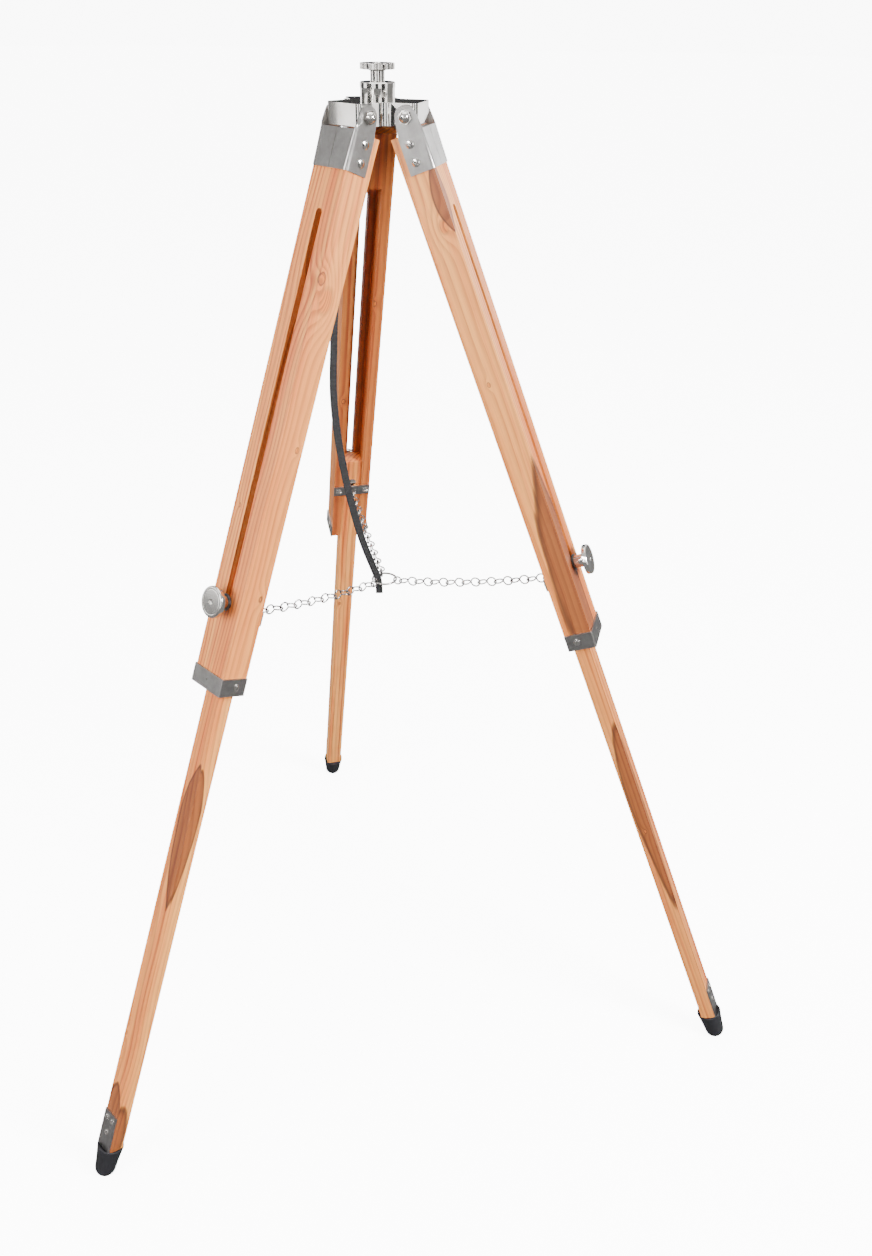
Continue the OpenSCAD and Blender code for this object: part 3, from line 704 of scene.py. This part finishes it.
def tube_skin(name, tubes):
    """Closed tubes, each a grid of rings, joined in one object."""
    faces, start = [], 0
    for grid in tubes:
        rows, columns = grid.shape[:2]
        index = np.arange(rows * columns).reshape(rows, columns) + start
        beside = np.roll(index, -1, 1)
        quads = np.stack([index, beside, np.roll(beside, -1, 0), np.roll(index, -1, 0)], -1)
        faces += quads.reshape(-1, 4).tolist()
        start += rows * columns
    return skin(name, np.vstack([grid.reshape(-1, 3) for grid in tubes]), faces, 60)


def chain_piece(leg):
    """Links laid end to end along the chain's parabola from the leg's eye to the ring, and a joining ring."""
    eye_point = Vector(joints[leg + "_chain_swing"]["pos_m"])
    outward = Vector((eye_point.x - head_x, eye_point.y - head_y, 0))
    eye_r = outward.length
    outward.normalize()
    across = Vector((-outward.y, outward.x, 0))
    low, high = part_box("spreader_ring")
    ring_r, ring_z = (high.x - low.x) / 2 - RING_WIRE, (low.z + high.z) / 2
    run = math.hypot(eye_r - ring_r, eye_point.z - ring_z)
    bear = CHAIN_WIRE + BEARING_GAP / 2
    start = bear - (EYE_WIRE + CHAIN_WIRE + BEARING_GAP)
    front = CHAIN_WIRE + RING_WIRE + BEARING_GAP
    pitch = (run - start + bear + front - 2 * JOIN_R) / LINKS
    loop_r = (pitch + 2 * bear - LOOP_CROSS) / 4

    def hang(distance):
        f = distance / run
        rise = eye_point.z + (ring_z - eye_point.z) * f - 4 * CHAIN_SAG * f * (1 - f)
        return np.array([eye_r + (ring_r - eye_r) * f, rise])

    def laid(grid, a, b):
        way = (b - a) / np.linalg.norm(b - a)
        x, y, z = grid[..., 0] - bear, grid[..., 1], grid[..., 2]
        out = a[0] + x * way[0] - z * way[1]
        up = a[1] + x * way[1] + z * way[0]
        x, y = out * outward.x + y * across.x, out * outward.y + y * across.y
        return np.stack([head_x + x, head_y + y, up], -1)

    link = link_points(loop_r)
    places = start + pitch * np.arange(LINKS + 1)
    tubes = [laid(link, hang(a), hang(b)) for a, b in zip(places[:-1], places[1:])]
    joining = ring_points(JOIN_R, CHAIN_WIRE, 1, 40, 10) + [JOIN_R, 0, 0]
    tubes.append(laid(joining, hang(places[-1]), hang(run)))
    return tube_skin(leg + "_jack_chain", tubes)


for leg in LEGS:
    stands_for(chain_piece(leg), leg + "_chain", wire_plate)
    stands_for(eased_copy(leg + "_chain_eye", 0.1 * MM, 1), leg + "_chain_eye", wire_plate)
low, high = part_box("spreader_ring")
ring_grid = ring_points((high.x - low.x) / 2 - RING_WIRE, RING_WIRE, 2, 96, 16) + np.array((low + high) / 2)
stands_for(tube_skin("wire_ring", [ring_grid]), "spreader_ring", wire_plate)

# ---- Rubber boots -----------------------------------------------------------------------------
# A tapered boot of black rubber is pulled over the end of each leg. It has a thin lip round the
# wood, and its round end is worn flat on the floor.

BALL_R, BOOT_TOP_R, BOOT_LIP = 12 * MM, 15.2 * MM, 1.1 * MM
BOOT_BALL, BOOT_TOP = -1161.5 * MM, -1131.2 * MM
RUBBER_BLACK, RUBBER_DUSTY = tint(11, 11, 14), tint(34, 33, 40)


def rubber_finish():
    """Moulded rubber: near black, dusty in slow patches and towards the floor, with a fine pebble."""
    f = Finish("black_rubber")
    place = f.node("TexCoord", output=3)
    height = place.parts()[2]
    pebble = f.noise(place, 1400.0)
    dust = f.noise(place, 95.0, 5.0, 0.65)
    worn = dust.ease(0.45, 0.75) * (1 - height.ease(0.0, 0.02)) * 0.6
    colour = f.mix(dust * 0.5 + worn, RUBBER_BLACK, RUBBER_DUSTY)
    return f.surface(Base_Color=colour, Roughness=dust * 0.25 + 0.5, Specular_IOR_Level=0.4,
                     Normal=f.bump(pebble + dust * 0.6, 0.35, 0.0002))


def boot_piece(leg):
    """A lathe profile in the leg's frame: a quarter circle for the ball, a taper with a faint waist, a half
    round lip and a dished top. What would be under the floor is pressed flat on it."""
    low, high = leg_span(leg, "_lower_leg")
    bend = np.linspace(-np.pi / 2, 0, 16)
    ball = np.stack([np.cos(bend) * BALL_R, BOOT_BALL + np.sin(bend) * BALL_R], 1)
    rise = np.linspace(0.06, 1, 18)
    side = np.stack([BALL_R + (BOOT_TOP_R - BALL_R) * rise - 0.25 * MM * np.sin(np.pi * rise),
                     BOOT_BALL + (BOOT_TOP - BOOT_LIP - BOOT_BALL) * rise], 1)
    curl = np.linspace(0, np.pi, 9)[1:]
    lip = np.stack([BOOT_TOP_R - BOOT_LIP + np.cos(curl) * BOOT_LIP,
                    BOOT_TOP - BOOT_LIP + np.sin(curl) * BOOT_LIP], 1)
    across = np.linspace(BOOT_TOP_R - 2 * BOOT_LIP, 0.2 * MM, 8)
    dish = np.stack([across, np.full(8, BOOT_TOP - 1.6 * BOOT_LIP)], 1)
    boot = turned(leg + "_boot_moulding", np.vstack([ball[1:], side, lip, dish]),
                  leg_at[leg] @ Matrix.Translation((0, (low[1] + high[1]) / 2, 0)), 72, 50)
    points = np.empty(len(boot.data.vertices) * 3)
    boot.data.vertices.foreach_get("co", points)
    points[2::3] = np.maximum(points[2::3], 0)
    boot.data.vertices.foreach_set("co", points)
    return boot


black_rubber = rubber_finish()
for leg in LEGS:
    stands_for(boot_piece(leg), leg + "_rubber_boot", black_rubber)

low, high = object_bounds()
